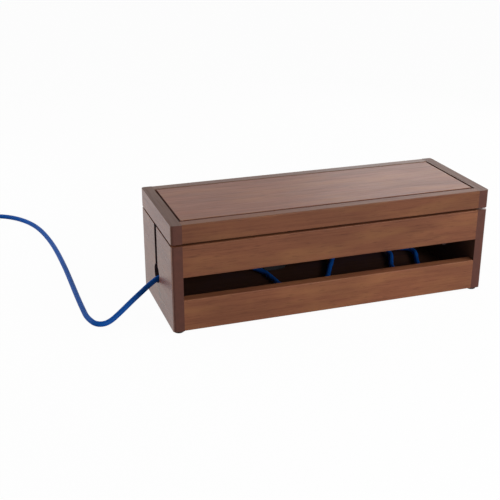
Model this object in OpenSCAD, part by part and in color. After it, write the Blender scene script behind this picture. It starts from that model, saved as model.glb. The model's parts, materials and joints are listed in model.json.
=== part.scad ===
// Wooden cable box: two end panels, an open slatted front, a back, a floor and a lift-off lid,
// with a flexible lead lying in loops inside and leaving through the hole in one end panel.
// Millimetres. The origin is the middle of the box at the level that its feet stand on.
// X runs along the length, the front faces -Y and Z is up.

/* [Box] */
// Length over the two end panels
box_l = 400; // [340:1:600]
// Depth from front to back
box_d = 146; // [136:1:240]
// Height of the walls, from their underside to the rim
wall_h = 104.5; // [92:0.5:180]
// Thickness of the end panels
end_t = 13; // [12:0.5:18]
// Thickness of the front slats and the back panel
side_t = 13; // [12:0.5:16]
// Height of each of the two front slats
slat_h = 38.5; // [32:0.5:42]
// Radius of the upright outer corners
corner_r = 3.5; // [1:0.5:6]
// Radius of the long edges of the slats and rails
edge_r = 1.2; // [0.4:0.2:2.5]

/* [Floor panel] */
// Thickness of the floor panel
floor_t = 5; // [3:0.5:6]
// Height of the floor panel's underside above the walls' underside
floor_up = 4; // [3:0.5:6]
// Depth of the groove that holds the floor panel in each wall
groove_in = 3; // [2:0.5:3.5]

/* [Cable holes] */
// Diameter of the round cable hole in each end panel
hole_d = 24; // [16:0.5:30]
// Height of the hole's centre above the walls' underside
hole_up = 43; // [34:0.5:60]
// Distance of the hole's centre behind the middle of the depth
hole_back = 3.5; // [-15:0.5:15]
// Width of the slot that runs from the hole up to the rim
slot_w = 10.5; // [8:0.5:13]

/* [Lid] */
// Height of the lid's frame
lid_h = 22.5; // [20:0.5:40]
// Open gap between the rim and the lid
lid_gap = 2.5; // [1:0.5:5]
// Width of the lid's rails
rail_w = 13; // [12:0.5:18]
// Thickness of the lid's panel
panel_t = 9; // [8:0.5:12]
// Width of the shadow groove between the panel and the rails
shadow_w = 2.5; // [1:0.5:4]
// Depth of the shadow groove
shadow_h = 3; // [2:0.5:4]
// Thickness of the panel's tongue
tongue_t = 4; // [2:0.5:4.5]
// Reach of the tongue into the rails
tongue_in = 4.5; // [2:0.5:6]

/* [Corner blocks] */
// Width of the square corner blocks
block_w = 14; // [10:0.5:20]
// Length of a block below the rim
block_h = 36; // [20:1:50]
// Sideways play between the blocks and the lid's rails
lid_play = 1; // [0.5:0.1:2]

/* [Dowels] */
// Diameter of the dowels
dowel_d = 6; // [4:0.5:7]
// Depth of a dowel in an end panel or end rail
dowel_in = 8; // [6:0.5:9]
// Depth of a dowel in a slat, the back panel or a long rail
dowel_out = 16; // [10:1:25]
// Distance of the upper dowel from the top edge of its board
dowel_edge = 8; // [6:0.5:10]
// Distance between the two dowels of a board's end
dowel_pitch = 12; // [9:0.5:14]
// Height of the lid's dowels above the lid's underside
lid_dowel_up = 7; // [5:0.5:8]

/* [Feet] */
// Diameter of the rubber feet
foot_d = 12; // [8:0.5:20]
// Height of the rubber feet
foot_h = 3.2; // [2:0.1:8]
// Radius of a foot's lower edge
foot_r = 1; // [0.3:0.1:1.5]
// Distance of a foot's edge from the box's end and from its front or back
foot_inset = 2; // [0.5:0.5:30]

/* [Lead] */
// Diameter of the lead
lead_d = 6.5; // [5:0.1:8]
// Diameter of the stored coil, at the middle of its turns
coil_d = 72; // [60:1:90]
// Thickness of the strap that ties the coil
tie_t = 0.8; // [0.5:0.1:1.5]
// Width of the strap that ties the coil
tie_w = 9; // [5:1:20]
// Length of the plug's and the connector's tapered sleeve
sleeve_l = 16; // [12:1:25]
// Width of the plug
plug_w = 35; // [30:0.5:40]
// Thickness of the plug
plug_h = 14; // [12:0.5:18]
// Length of the plug's body
plug_l = 36; // [30:1:45]
// Length over which the plug widens from its sleeve
plug_neck_l = 14; // [8:1:18]
// Diameter of the plug's pins
pin_d = 4; // [3:0.5:5]
// Length of the plug's pins
pin_l = 19; // [15:1:22]
// Distance between the plug's pins
pin_pitch = 19; // [14:0.5:22]
// Width of the connector
socket_w = 20; // [16:0.5:26]
// Thickness of the connector
socket_h = 13; // [11:0.5:16]
// Length of the connector's body
socket_l = 32; // [25:1:40]
// Length over which the connector widens from its sleeve
socket_neck_l = 12; // [6:1:16]
// Depth of the connector's two contact holes
socket_depth = 18; // [10:1:22]
// Distance between the connector's contact holes
socket_pitch = 8.6; // [7:0.2:11]
// Diameter of the connector's contact holes
socket_hole_d = 2.6; // [2:0.1:3.5]

/* [Hidden] */

walnut = "#7a5240";
end_walnut = "#5f4036";
beech = "#c9a878";
rubber_black = "#1f1a18";
lead_blue = "#1f4a94";
moulding_black = "#232325";
nickel = "#b9b9b4";

$fn = 48;
tiny = 0.01;          // overshoot that keeps a cut clear of the face it leaves
tongue_play = 0.5;    // room at the tip of the panel's tongue
coil_play = 0.2;      // room between the turns of the coil
sleeve_wall = 0.8;    // wall of a sleeve where the lead comes out of it
sleeve_step = 1;      // how far a sleeve is set in from the moulding behind it
round_fn = 96;        // facets of the coil and its strap
wall_z = foot_h;                          // underside of the walls
rim_z = wall_z + wall_h;                  // top of the walls
lid_z = rim_z + lid_gap;                  // underside of the lid's frame
panel_z = lid_z + lid_h - panel_t;        // underside of the lid's panel
inner_l = box_l - 2 * end_t;              // length between the end panels
inner_d = box_d - 2 * side_t;             // depth between the slats and the back
rail_l = box_l - 2 * rail_w;              // length of the long rails
side_y = box_d / 2 - side_t / 2;          // middle of the slats' and the back panel's thickness

// Heights of the dowels above the walls' underside: two in each slat, the same in the back panel
dowel_rows = [for (top = [slat_h, wall_h]) for (k = [0, 1]) top - dowel_edge - k * dowel_pitch];

// The lead's middle line from the connector, over the floor panel, through the left cable hole and
// over the surface that the box stands on, up to the stored coil
lead_line = [
    [-4, 49.5, 18.7], [38, 54.4, 16.4], [134, 54.5, 15.7], [157, 44, 17.2], [161, 30, 16.4],
    [153.8, 11, 15.6], [140.5, -17.5, 15.6], [126, -29, 15.6], [110.5, -21, 15.6],
    [110.5, -4, 15.6], [119.8, 17.3, 15.6], [126.8, 34, 16.9], [122, 50, 20.8], [90, 56.2, 22.6],
    [52, 46.5, 20.4], [35.9, 25, 15.9], [10.5, -18, 15.6], [-18, -41, 15.6], [-45, -19, 15.6],
    [-50, 9.5, 15.6], [-53.8, 31, 16.4], [-70, 49.5, 18.6], [-101, 54.5, 17], [-135, 41.5, 24.5],
    [-170, 15.5, 37], [-187, 8, 39.2], [-200, 4.5, 38.4], [-228, -8.1, 24.8], [-257, -19.8, 7.6],
    [-267.5, -24.2, 4], [-276.5, -24, 3.4], [-283, -16.5, 3.4], [-288, 8, 3.4],
    [-290.8, 180, 3.4], [-298, 277, 3.4], [-314, 343, 3.4], [-344, 384.5, 3.4], [-393, 403.5, 3.8]];
// From the coil to the plug's sleeve
tail_line = [[-451.4, 350, 10.4], [-451.5, 318, 7]];
coil_centre = [-412, 366];
coil_w = 2 * lead_d + coil_play;   // width and height of the coil's bundle, two turns by two
tie_turn = 300;                // direction of the strap from the coil's centre
lead_sides = 8;
ring_gap = 3 * lead_d;         // usual distance between the rings of the lead's tube

// ---- shapes that repeat ----

// Rectangle from the origin with all four corners rounded
module soft_rect(w, h, r) {
    translate([r, 0]) square([w - 2 * r, h]);
    translate([0, r]) square([w, h - 2 * r]);
    for (x = [r, w - r]) for (y = [r, h - r]) translate([x, y]) circle(r);
}

// Plan of an end board: the inner face lies on x = 0, the two outer corners are rounded
module end_plan(w) {
    translate([0, -box_d / 2]) square([w - corner_r, box_d]);
    translate([0, corner_r - box_d / 2]) square([w, box_d - 2 * corner_r]);
    for (s = [-1, 1]) translate([w - corner_r, s * (box_d / 2 - corner_r)]) circle(corner_r);
}

// Board of length l along X, width w along Y and height h, with rounded long edges
module edged_board(l, w, h) {
    translate([-l / 2, -w / 2, 0]) rotate([90, 0, 90]) linear_extrude(l) soft_rect(w, h, edge_r);
}

// Cylinder of diameter dowel_d along X, from x = -back to x = front
module dowel(back, front) {
    translate([-back, 0, 0]) rotate([0, 90, 0]) cylinder(h = back + front, d = dowel_d);
}

// Dowel holes in both ends of a board of length l, at the given heights
module end_bores(l, heights) {
    for (s = [-1, 1]) for (z = heights) translate([s * l / 2, 0, z]) dowel(dowel_out, dowel_out);
}

// The groove's shape in the inner faces of the four walls, which is also the floor panel's outline
module floor_slab() {
    translate([-inner_l / 2 - groove_in, -inner_d / 2 - groove_in, wall_z + floor_up])
        cube([inner_l + 2 * groove_in, inner_d + 2 * groove_in, floor_t]);
}

// The panel's tongue, made larger by the given play on its edges
module tongue_slab(play) {
    reach = tongue_in + play;
    translate([-rail_l / 2 - reach, rail_w - box_d / 2 - reach, lid_z + lid_h - shadow_h - tongue_t])
        cube([rail_l + 2 * reach, box_d - 2 * rail_w + 2 * reach, tongue_t]);
}

// ---- walls ----

module end_panel() {
    difference() {
        translate([inner_l / 2, 0, wall_z]) linear_extrude(wall_h) end_plan(end_t);
        translate([inner_l / 2 - tiny, hole_back, wall_z + hole_up]) {
            rotate([0, 90, 0]) cylinder(h = end_t + 2 * tiny, d = hole_d);
            translate([0, -slot_w / 2, 0]) cube([end_t + 2 * tiny, slot_w, wall_h]);
        }
        for (s = [-1, 1]) for (z = dowel_rows)
            translate([inner_l / 2, s * side_y, wall_z + z]) dowel(tiny, dowel_in);
        floor_slab();
    }
}

module left_end_panel() { color(walnut) mirror([1, 0, 0]) end_panel(); }
module right_end_panel() { color(walnut) end_panel(); }

module front_lower_slat() {
    color(walnut) difference() {
        translate([0, -side_y, wall_z]) difference() {
            edged_board(inner_l, side_t, slat_h);
            end_bores(inner_l, [dowel_rows[0], dowel_rows[1]]);
        }
        floor_slab();
    }
}

module front_upper_slat() {
    color(walnut) translate([0, -side_y, wall_z]) difference() {
        translate([0, 0, wall_h - slat_h]) edged_board(inner_l, side_t, slat_h);
        end_bores(inner_l, [dowel_rows[2], dowel_rows[3]]);
    }
}

module back_panel() {
    color(walnut) difference() {
        translate([0, side_y, wall_z]) difference() {
            edged_board(inner_l, side_t, wall_h);
            end_bores(inner_l, dowel_rows);
        }
        floor_slab();
    }
}

module floor_panel() { color(end_walnut) floor_slab(); }

// Block glued into an inner corner. Its top stands above the rim, where it carries the lid's panel
// and keeps the lid from sliding.
module corner_block(side, end) {
    corner = [inner_l / 2 - block_w, inner_d / 2 - block_w, rim_z];
    peg = [rail_l / 2 - lid_play, box_d / 2 - rail_w - lid_play, panel_z] - corner;
    color(end_walnut) mirror([side < 0 ? 1 : 0, 0, 0]) mirror([0, end < 0 ? 1 : 0, 0]) {
        translate(corner - [0, 0, block_h]) cube([block_w, block_w, block_h]);
        translate(corner) cube(peg);
    }
}

module wall_dowels() {
    color(beech) for (s = [-1, 1]) for (y = [-side_y, side_y]) for (z = dowel_rows)
        translate([s * inner_l / 2, y, wall_z + z])
            dowel(s > 0 ? dowel_out : dowel_in, s > 0 ? dowel_in : dowel_out);
}

module foot(side, end) {
    inset = foot_inset + foot_d / 2;
    color(rubber_black)
        translate([side * (box_l / 2 - inset), end * (box_d / 2 - inset), 0])
            rotate_extrude() {
                square([foot_d / 2 - foot_r, foot_h]);
                translate([0, foot_r]) square([foot_d / 2, foot_h - foot_r]);
                translate([foot_d / 2 - foot_r, foot_r]) circle(foot_r);
            }
}

// ---- lid ----

module lid_end_rail() {
    difference() {
        translate([rail_l / 2, 0, lid_z]) linear_extrude(lid_h) end_plan(rail_w);
        for (s = [-1, 1])
            translate([rail_l / 2, s * (box_d - rail_w) / 2, lid_z + lid_dowel_up])
                dowel(tiny, dowel_in);
        tongue_slab(tongue_play);
    }
}

module lid_left_rail() { color(walnut) mirror([1, 0, 0]) lid_end_rail(); }
module lid_right_rail() { color(walnut) lid_end_rail(); }

module lid_long_rail(end) {
    color(walnut) difference() {
        translate([0, end * (box_d - rail_w) / 2, lid_z]) difference() {
            edged_board(rail_l, rail_w, lid_h);
            end_bores(rail_l, [lid_dowel_up]);
        }
        tongue_slab(tongue_play);
    }
}

module lid_panel() {
    reach = rail_w + shadow_w;
    color(walnut) {
        translate([reach - box_l / 2, reach - box_d / 2, panel_z])
            cube([box_l - 2 * reach, box_d - 2 * reach, panel_t]);
        tongue_slab(0);
    }
}

module lid_dowels() {
    color(beech) for (s = [-1, 1]) for (e = [-1, 1])
        translate([s * rail_l / 2, e * (box_d - rail_w) / 2, lid_z + lid_dowel_up])
            dowel(s > 0 ? dowel_out : dowel_in, s > 0 ? dowel_in : dowel_out);
}

// ---- lead ----

function unit(v) = v / norm(v);
function heading(line, i) = unit(line[min(i + 1, len(line) - 1)] - line[max(i - 1, 0)]);

// Point on the smooth curve through the line's points i and i + 1, at the share t of the way
function on_curve(line, i, t) =
    let (a = line[i], b = line[i + 1], reach = norm(b - a) / 3, s = 1 - t,
         p = a + reach * heading(line, i), q = b - reach * heading(line, i + 1))
    s * s * s * a + 3 * s * s * t * p + 3 * s * t * t * q + t * t * t * b;

// The line with points added along its smooth curve, about ring_gap apart
function smooth(line) = [
    for (i = [0 : len(line) - 2])
        let (steps = max(1, round(norm(line[i + 1] - line[i]) / ring_gap)))
        for (k = [0 : steps - 1]) on_curve(line, i, k / steps),
    line[len(line) - 1]];

// Ring of points round the line's point i, square to the line there
function ring(line, i) =
    let (along = heading(line, i), across = unit(cross(along, [0, 0, 1])), up = cross(across, along))
    [for (k = [0 : lead_sides - 1]) let (a = (k + 0.5) * 360 / lead_sides)
        line[i] + lead_d / 2 * (cos(a) * across + sin(a) * up)];

// Round lead along a line of points, closed by a flat face at each end
module lead_tube(line) {
    n = lead_sides;
    last = (len(line) - 1) * n;
    polyhedron(
        points = [for (i = [0 : len(line) - 1]) each ring(line, i)],
        faces = concat(
            [[for (k = [n - 1 : -1 : 0]) k], [for (k = [0 : n - 1]) last + k]],
            [for (i = [0 : len(line) - 2]) for (k = [0 : n - 1]) each
                let (a = i * n + k, b = i * n + (k + 1) % n)
                [[a, b, b + n], [a, b + n, a + n]]]));
}

module lead() { color(lead_blue) lead_tube(smooth(lead_line)); }
module lead_tail() { color(lead_blue) lead_tube(smooth(tail_line)); }

// Section of the coil's bundle, lying on the strap
module coil_section() {
    translate([(coil_d - coil_w) / 2, tie_t]) soft_rect(coil_w, coil_w, lead_d / 2);
}

module lead_coil() {
    color(lead_blue) translate(coil_centre) rotate_extrude($fn = round_fn) coil_section();
}

module coil_tie() {
    span = tie_w / (coil_d / 2) * 180 / PI;
    color(moulding_black) translate(coil_centre) rotate([0, 0, tie_turn - span / 2])
        rotate_extrude(angle = span, $fn = round_fn) difference() {
            translate([(coil_d - coil_w) / 2 - tie_t, 0])
                soft_rect(coil_w + 2 * tie_t, coil_w + 2 * tie_t, lead_d / 2 + tie_t);
            coil_section();
        }
}

// Tapered sleeve that the lead comes out of, wide end at the origin, pointing along -Y
module sleeve(h) {
    rotate([90, 0, 0]) cylinder(h = sleeve_l, r1 = h / 2 - sleeve_step, r2 = lead_d / 2 + sleeve_wall);
}

// Flat moulded body behind a sleeve at the origin, pointing along -Y. It widens over neck_l.
module moulding(w, h, l, neck_l) {
    translate([0, -sleeve_l, 0]) {
        mirror([0, 1, 0]) sleeve(h);
        translate([0, 0, -h / 2]) linear_extrude(h)
            polygon([[-h / 2, 0], [-w / 2, -neck_l], [-w / 2, -l], [w / 2, -l], [w / 2, -neck_l],
                     [h / 2, 0]]);
    }
}

tail_end = tail_line[len(tail_line) - 1];

module lead_plug() {
    color(moulding_black) translate(tail_end) moulding(plug_w, plug_h, plug_l, plug_neck_l);
}

module plug_pins() {
    color(nickel) translate(tail_end - [0, sleeve_l + plug_l, 0])
        for (s = [-1, 1]) translate([s * pin_pitch / 2, 0, 0]) rotate([90, 0, 0])
            cylinder(h = pin_l, d = pin_d);
}

module lead_connector() {
    color(moulding_black) translate(lead_line[0]) rotate([0, 0, -90]) difference() {
        moulding(socket_w, socket_h, socket_l, socket_neck_l);
        for (s = [-1, 1])
            translate([s * socket_pitch / 2, socket_depth - sleeve_l - socket_l, 0])
                rotate([90, 0, 0]) cylinder(h = socket_depth + tiny, d = socket_hole_d);
    }
}

left_end_panel();
right_end_panel();
front_lower_slat();
front_upper_slat();
back_panel();
floor_panel();
corner_block(-1, -1);  // front_left_block
corner_block(1, -1);  // front_right_block
corner_block(-1, 1);  // back_left_block
corner_block(1, 1);  // back_right_block
wall_dowels();
foot(-1, -1);  // front_left_foot
foot(1, -1);  // front_right_foot
foot(-1, 1);  // back_left_foot
foot(1, 1);  // back_right_foot
lid_left_rail();
lid_right_rail();
lid_long_rail(-1);  // lid_front_rail
lid_long_rail(1);  // lid_back_rail
lid_panel();
lid_dowels();
lead();
lead_coil();
lead_tail();
coil_tie();
lead_plug();
plug_pins();
lead_connector();
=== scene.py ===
"""A long wooden cable box with a slatted front and a lift-off lid, and the blue mains lead in it.

It is laid out as an add-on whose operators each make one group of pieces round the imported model.
Lengths are in metres; X runs along the box, the slatted front faces -Y, Z is up.
"""

import json
import math

import bmesh
import bpy
from bpy.props import FloatProperty, FloatVectorProperty, IntProperty, PointerProperty
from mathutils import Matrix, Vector


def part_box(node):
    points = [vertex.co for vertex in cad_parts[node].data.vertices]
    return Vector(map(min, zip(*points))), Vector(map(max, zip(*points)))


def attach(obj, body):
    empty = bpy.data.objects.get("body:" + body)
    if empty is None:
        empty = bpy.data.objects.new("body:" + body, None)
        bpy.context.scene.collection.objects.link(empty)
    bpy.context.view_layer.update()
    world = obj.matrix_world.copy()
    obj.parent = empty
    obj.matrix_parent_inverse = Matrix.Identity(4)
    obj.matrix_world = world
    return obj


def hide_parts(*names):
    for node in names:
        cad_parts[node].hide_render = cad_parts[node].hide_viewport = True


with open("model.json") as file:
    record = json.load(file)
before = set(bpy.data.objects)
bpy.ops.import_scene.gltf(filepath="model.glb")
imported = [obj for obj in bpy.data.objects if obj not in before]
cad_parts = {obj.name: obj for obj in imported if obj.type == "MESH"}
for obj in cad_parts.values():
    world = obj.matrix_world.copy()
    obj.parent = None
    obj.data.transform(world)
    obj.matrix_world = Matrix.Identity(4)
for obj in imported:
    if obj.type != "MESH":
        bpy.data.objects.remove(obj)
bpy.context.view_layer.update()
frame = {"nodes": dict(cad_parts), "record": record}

bl_info = {
    "name": "Slatted Cable Box",
    "version": (1, 0, 0),
    "blender": (4, 5, 0),
    "location": "View3D > Sidebar > Cable Box",
    "description": "Builds a walnut-stained cable box with a lift-off lid and a mains lead",
    "category": "Add Mesh",
}

MM = 0.001
# How near to a plane a face or an edge is taken to lie in it
NEAR = 0.1 * MM

# Where the camera stands, how it is turned in degrees, its lens and its sensor in millimetres
CAMERA_PLACE = (-0.4230, -1.0019, 0.4897)
CAMERA_TURN = (68.005, -0.013, -18.721)
CAMERA_LENS = 67.0
CAMERA_SENSOR = 36

# Place, width and height of each softbox
SOFTBOXES = {
    "key": ((0.9, -0.55, 0.8), 0.8, 0.6),
    "fill": ((0.4, -1.15, 0.52), 0.4, 0.3),
    "side": ((-0.9, 0.5, 0.5), 0.8, 0.5),
    "rim": ((0.69, 0.68, 0.5), 0.8, 0.6),
}
# Point that they are aimed at, and the place and size of the paper floor
LAMP_AIM = Vector((0, 0, 0.05))
PAPER_PLACE = (0, 3, 0)
PAPER_SIZE = 16

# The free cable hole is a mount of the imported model; both end panels have the same one.
HOLE = next(m for m in frame["record"]["mounts"] if m["name"] == "right_cable_hole")
HOLE_RADIUS = HOLE["dims"]["r_mm"] * MM
HOLE_CENTRE = Vector(HOLE["pos_m"])


def linear(hex_color):
    """Linear red, green, blue and alpha of an sRGB hex colour."""
    values = [int(hex_color[i:i + 2], 16) / 255 for i in (1, 3, 5)]
    return [v / 12.92 if v <= 0.04045 else ((v + 0.055) / 1.055) ** 2.4 for v in values] + [1.0]


# ---- settings ----

class CABLEBOX_PG_wood(bpy.types.PropertyGroup):
    """Sizes and colours of the boards."""

    face_color: FloatVectorProperty(
        name="Walnut Stain", description="Colour of the stained early wood", subtype="COLOR",
        size=4, min=0, max=1, default=linear("#804f37"))
    streak_color: FloatVectorProperty(
        name="Dark Streaks", description="Colour of the denser late wood", subtype="COLOR",
        size=4, min=0, max=1, default=linear("#6a3e2b"))
    golden_color: FloatVectorProperty(
        name="Golden Clouds", description="Colour where the wood took less stain",
        subtype="COLOR", size=4, min=0, max=1, default=linear("#87583a"))
    pore_color: FloatVectorProperty(
        name="Pores", description="Colour of the stain that has gathered in the pores",
        subtype="COLOR", size=4, min=0, max=1, default=linear("#3d221a"))
    # Also put on the lid panel's walls in its groove, where it is painted shade
    end_color: FloatVectorProperty(
        name="End Grain", description="Colour where the boards are cut across", subtype="COLOR",
        size=4, min=0, max=1, default=linear("#532c21"))
    # Dark brown inside the box: a dull stain, darkened to paint the shade in there
    inside_stain_and_shade_color: FloatVectorProperty(
        name="Inside", description="Colour of the dull stain inside the box", subtype="COLOR",
        size=4, min=0, max=1, default=linear("#44291c"))
    # Near-black painted shade on the walls of the cable holes and their slots
    hole_wall_shade_color: FloatVectorProperty(
        name="Cable Holes", description="Colour of the walls of the cable holes",
        subtype="COLOR", size=4, min=0, max=1, default=linear("#2a1216"))
    corner_radius: FloatProperty(
        name="Corner Radius", description="Rounding of the box's upright corners",
        unit="LENGTH", min=1 * MM, max=6 * MM, default=3.5 * MM)
    edge_radius: FloatProperty(
        name="Edge Radius", description="Rounding of the long edges", unit="LENGTH",
        min=0.3 * MM, max=3 * MM, default=1.2 * MM)
    arris: FloatProperty(
        name="Arris", description="Rounding of every other edge, as sandpaper leaves it",
        unit="LENGTH", min=0.1 * MM, max=1 * MM, default=0.4 * MM)
    slot_width: FloatProperty(
        name="Cable Slot", description="Width of the slot from the cable hole up to the rim",
        unit="LENGTH", min=8 * MM, max=13 * MM, default=10.5 * MM)
    shadow_width: FloatProperty(
        name="Shadow Groove", description="Width of the groove round the lid's panel",
        unit="LENGTH", min=1 * MM, max=4 * MM, default=2.5 * MM)
    shadow_depth: FloatProperty(
        name="Shadow Depth", description="Depth of the groove round the lid's panel",
        unit="LENGTH", min=1 * MM, max=5 * MM, default=3 * MM)
    tongue: FloatProperty(
        name="Tongue", description="Thickness of the panel's tongue in the rails",
        unit="LENGTH", min=2 * MM, max=5 * MM, default=4 * MM)
    tongue_play: FloatProperty(
        name="Tongue Play", description="Room at the tip of the panel's tongue", unit="LENGTH",
        min=0, max=1 * MM, default=0.5 * MM)
    lid_play: FloatProperty(
        name="Lid Play", description="Room between the corner blocks and the lid's rails",
        unit="LENGTH", min=0.5 * MM, max=2 * MM, default=1 * MM)


class CABLEBOX_PG_lead(bpy.types.PropertyGroup):
    """Sizes and colours of the lead, what is on it, and the feet."""

    diameter: FloatProperty(
        name="Diameter", description="Outer diameter of the lead's jacket", unit="LENGTH",
        min=5 * MM, max=8 * MM, default=6.5 * MM)
    jacket_color: FloatVectorProperty(
        name="Jacket", description="Colour of the lead's jacket", subtype="COLOR", size=4,
        min=0, max=1, default=linear("#1457ae"))
    moulding_color: FloatVectorProperty(
        name="Mouldings", description="Colour of the plug and the connector", subtype="COLOR",
        size=4, min=0, max=1, default=linear("#242427"))
    rubber_color: FloatVectorProperty(
        name="Feet", description="Colour of the rubber feet", subtype="COLOR", size=4, min=0,
        max=1, default=linear("#2a1f1c"))
    coil_diameter: FloatProperty(
        name="Coil", description="Diameter of the stored coil, at the middle of its turns",
        unit="LENGTH", min=60 * MM, max=90 * MM, default=72 * MM)
    coil_play: FloatProperty(
        name="Coil Play", description="Room between the coil's turns", unit="LENGTH",
        min=0, max=1 * MM, default=0.2 * MM)
    points_per_turn: IntProperty(
        name="Points per Turn", description="Points on each turn of the coil", min=12, max=36,
        default=16)
    sleeve_length: FloatProperty(
        name="Sleeve", description="Length of the ribbed sleeve behind the plug", unit="LENGTH",
        min=12 * MM, max=25 * MM, default=16 * MM)
    foot_edge: FloatProperty(
        name="Foot Edge", description="Rounding of a foot's lower edge", unit="LENGTH",
        min=0.3 * MM, max=1.5 * MM, default=1 * MM)


class CABLEBOX_PG_stage(bpy.types.PropertyGroup):
    """The light and the floor."""

    sky: FloatProperty(
        name="Sky", description="Light from all round", min=0, max=2, default=0.2)
    key_power: FloatProperty(
        name="Key Lamp", description="Power of the softbox at the right", unit="POWER", min=0,
        max=200, default=7)
    fill_power: FloatProperty(
        name="Fill Lamp", description="Power of the small softbox at the front right",
        unit="POWER", min=0, max=200, default=6.5)
    side_power: FloatProperty(
        name="Side Lamp", description="Power of the softbox at the back left", unit="POWER",
        min=0, max=200, default=3.2)
    rim_power: FloatProperty(
        name="Rim Lamp", description="Power of the softbox at the back right", unit="POWER", min=0,
        max=200, default=1.7)
    floor_color: FloatVectorProperty(
        name="Floor", description="Colour of the floor", subtype="COLOR", size=4, min=0, max=1,
        default=linear("#f2f2f2"))


# ---- modelling by hand ----

def pick(*objects):
    """Selects these objects alone, and makes the first one active."""
    bpy.ops.object.select_all(action="DESELECT")
    for obj in objects:
        obj.select_set(True)
    bpy.context.view_layer.objects.active = objects[0]


def settle(obj, name=None):
    """Puts the object's place, turn and scale into its mesh, and names it."""
    pick(obj)
    bpy.ops.object.transform_apply(location=True, rotation=True, scale=True)
    if name:
        obj.name = name
        obj.data.name = name
    return obj


def cuboid(name, low, high):
    """A plain block between two corners, to be shaped further."""
    bpy.ops.object.select_all(action="DESELECT")
    low, high = Vector(low), Vector(high)
    bpy.ops.mesh.primitive_cube_add(size=1, location=(low + high) / 2, scale=high - low)
    return settle(bpy.context.object, name)


def rod(name, radius, start, end, sides=32):
    """A plain round bar between two points on a line along one axis, to be shaped further."""
    bpy.ops.object.select_all(action="DESELECT")
    start, end = Vector(start), Vector(end)
    turn = (end - start).to_track_quat("Z", "Y").to_euler()
    bpy.ops.mesh.primitive_cylinder_add(vertices=sides, radius=radius, depth=(end - start).length,
                                        rotation=turn, location=(start + end) / 2)
    return settle(bpy.context.object, name)


def edit(obj, kind, chosen):
    """Goes into edit mode with the vertices, edges or faces selected for which chosen() is true."""
    pick(obj)
    bpy.ops.object.mode_set(mode="EDIT")
    bpy.ops.mesh.select_mode(type=kind)
    bpy.ops.mesh.select_all(action="DESELECT")
    mesh = bmesh.from_edit_mesh(obj.data)
    for part in {"VERT": mesh.verts, "EDGE": mesh.edges, "FACE": mesh.faces}[kind]:
        part.select_set(bool(chosen(part)))
    mesh.select_flush_mode()
    bmesh.update_edit_mesh(obj.data)


def leave(obj):
    """Goes back to object mode."""
    bpy.ops.object.mode_set(mode="OBJECT")
    return obj


def draw_out(x=0.0, y=0.0, z=0.0):
    """Extrudes the selected faces by a distance along each axis."""
    bpy.ops.mesh.extrude_region_move(TRANSFORM_OT_translate={"value": (x, y, z)})


def middle(part):
    """Middle of an edge or a face."""
    return sum((v.co for v in part.verts), Vector()) / len(part.verts)


def runs_along(edge, axis):
    """Whether an edge is parallel to an axis, 0 to 2."""
    run = (edge.verts[1].co - edge.verts[0].co).normalized()
    return abs(run[axis]) > 0.999


def round_edges(obj, chosen, radius, segments):
    """Rounds the edges for which chosen() is true."""
    edit(obj, "EDGE", chosen)
    bpy.ops.mesh.bevel(offset=radius, segments=segments, affect="EDGES")
    return leave(obj)


def combine(obj, others, operation="DIFFERENCE"):
    """Takes the others' volume out of the object, or adds it, and removes the others."""
    for other in others:
        pick(obj)
        bpy.ops.object.modifier_add(type="BOOLEAN")
        modifier = obj.modifiers[-1]
        modifier.operation = operation
        modifier.solver = "EXACT"
        modifier.object = other
        bpy.ops.object.modifier_apply(modifier=modifier.name)
        bpy.data.objects.remove(other)
    return obj


def ease(obj, radius, segments=2):
    """Rounds every edge that is still sharp and shades it smooth, with flat faces kept flat."""
    pick(obj)
    bpy.ops.object.modifier_add(type="BEVEL")
    bevel = obj.modifiers[-1]
    bevel.width = radius
    bevel.segments = segments
    bevel.limit_method = "ANGLE"
    bevel.angle_limit = math.radians(40)
    bpy.ops.object.modifier_apply(modifier=bevel.name)
    bpy.ops.object.shade_smooth_by_angle(angle=math.radians(50))
    bpy.ops.object.modifier_add(type="WEIGHTED_NORMAL")
    normals = obj.modifiers[-1]
    normals.keep_sharp = True
    bpy.ops.object.modifier_apply(modifier=normals.name)
    return obj


def merge_doubles(obj, recalculate=False):
    """Joins vertices that lie on each other, and turns the faces outwards if asked."""
    edit(obj, "VERT", lambda v: True)
    bpy.ops.mesh.remove_doubles(threshold=0.01 * MM)
    if recalculate:
        bpy.ops.mesh.normals_make_consistent(inside=False)
    return leave(obj)


def node_copy(node):
    """A merged copy of a CAD node's mesh, to cut with."""
    copy = bpy.data.objects.new("cutter_" + node, frame["nodes"][node].data.copy())
    bpy.context.scene.collection.objects.link(copy)
    return merge_doubles(copy)


def twin(obj, node, turn=0.0, mirrored=False):
    """A copy with its own mesh, turned by degrees or mirrored, in the place of another CAD node."""
    pick(obj)
    bpy.ops.object.duplicate()
    copy = bpy.context.object
    copy.rotation_euler.z = math.radians(turn)
    copy.scale.x = -1 if mirrored else 1
    settle(copy, obj.name.split("_")[0] + "_" + node)
    copy.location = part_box(node)[0] - Vector(min(v.co[k] for v in copy.data.vertices)
                                             for k in range(3))
    settle(copy)
    return merge_doubles(copy, recalculate=True) if mirrored else copy


def finish_piece(obj, body, slot, *nodes):
    """The piece moves with a body and stands for CAD nodes, which it hides; slot is not used."""
    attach(obj, body)
    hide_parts(*nodes)
    return obj


# ---- materials ----

def add_node(tree, kind, inputs, **settings):
    """Adds a node with its settings, and sets or links its inputs by name or number."""
    made = tree.nodes.new(kind)
    for name, value in settings.items():
        setattr(made, name, value)
    for name, value in inputs.items():
        if isinstance(value, bpy.types.NodeSocket):
            tree.links.new(value, made.inputs[name])
        else:
            made.inputs[name].default_value = value
    return made


def surface_material(name, make_shader):
    """A node material whose surface is the shader node that make_shader(tree) returns."""
    material = bpy.data.materials.new(name)
    material.use_nodes = True
    tree = material.node_tree
    tree.nodes.clear()
    add_node(tree, "ShaderNodeOutputMaterial", {"Surface": make_shader(tree).outputs[0]})
    return material


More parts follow.
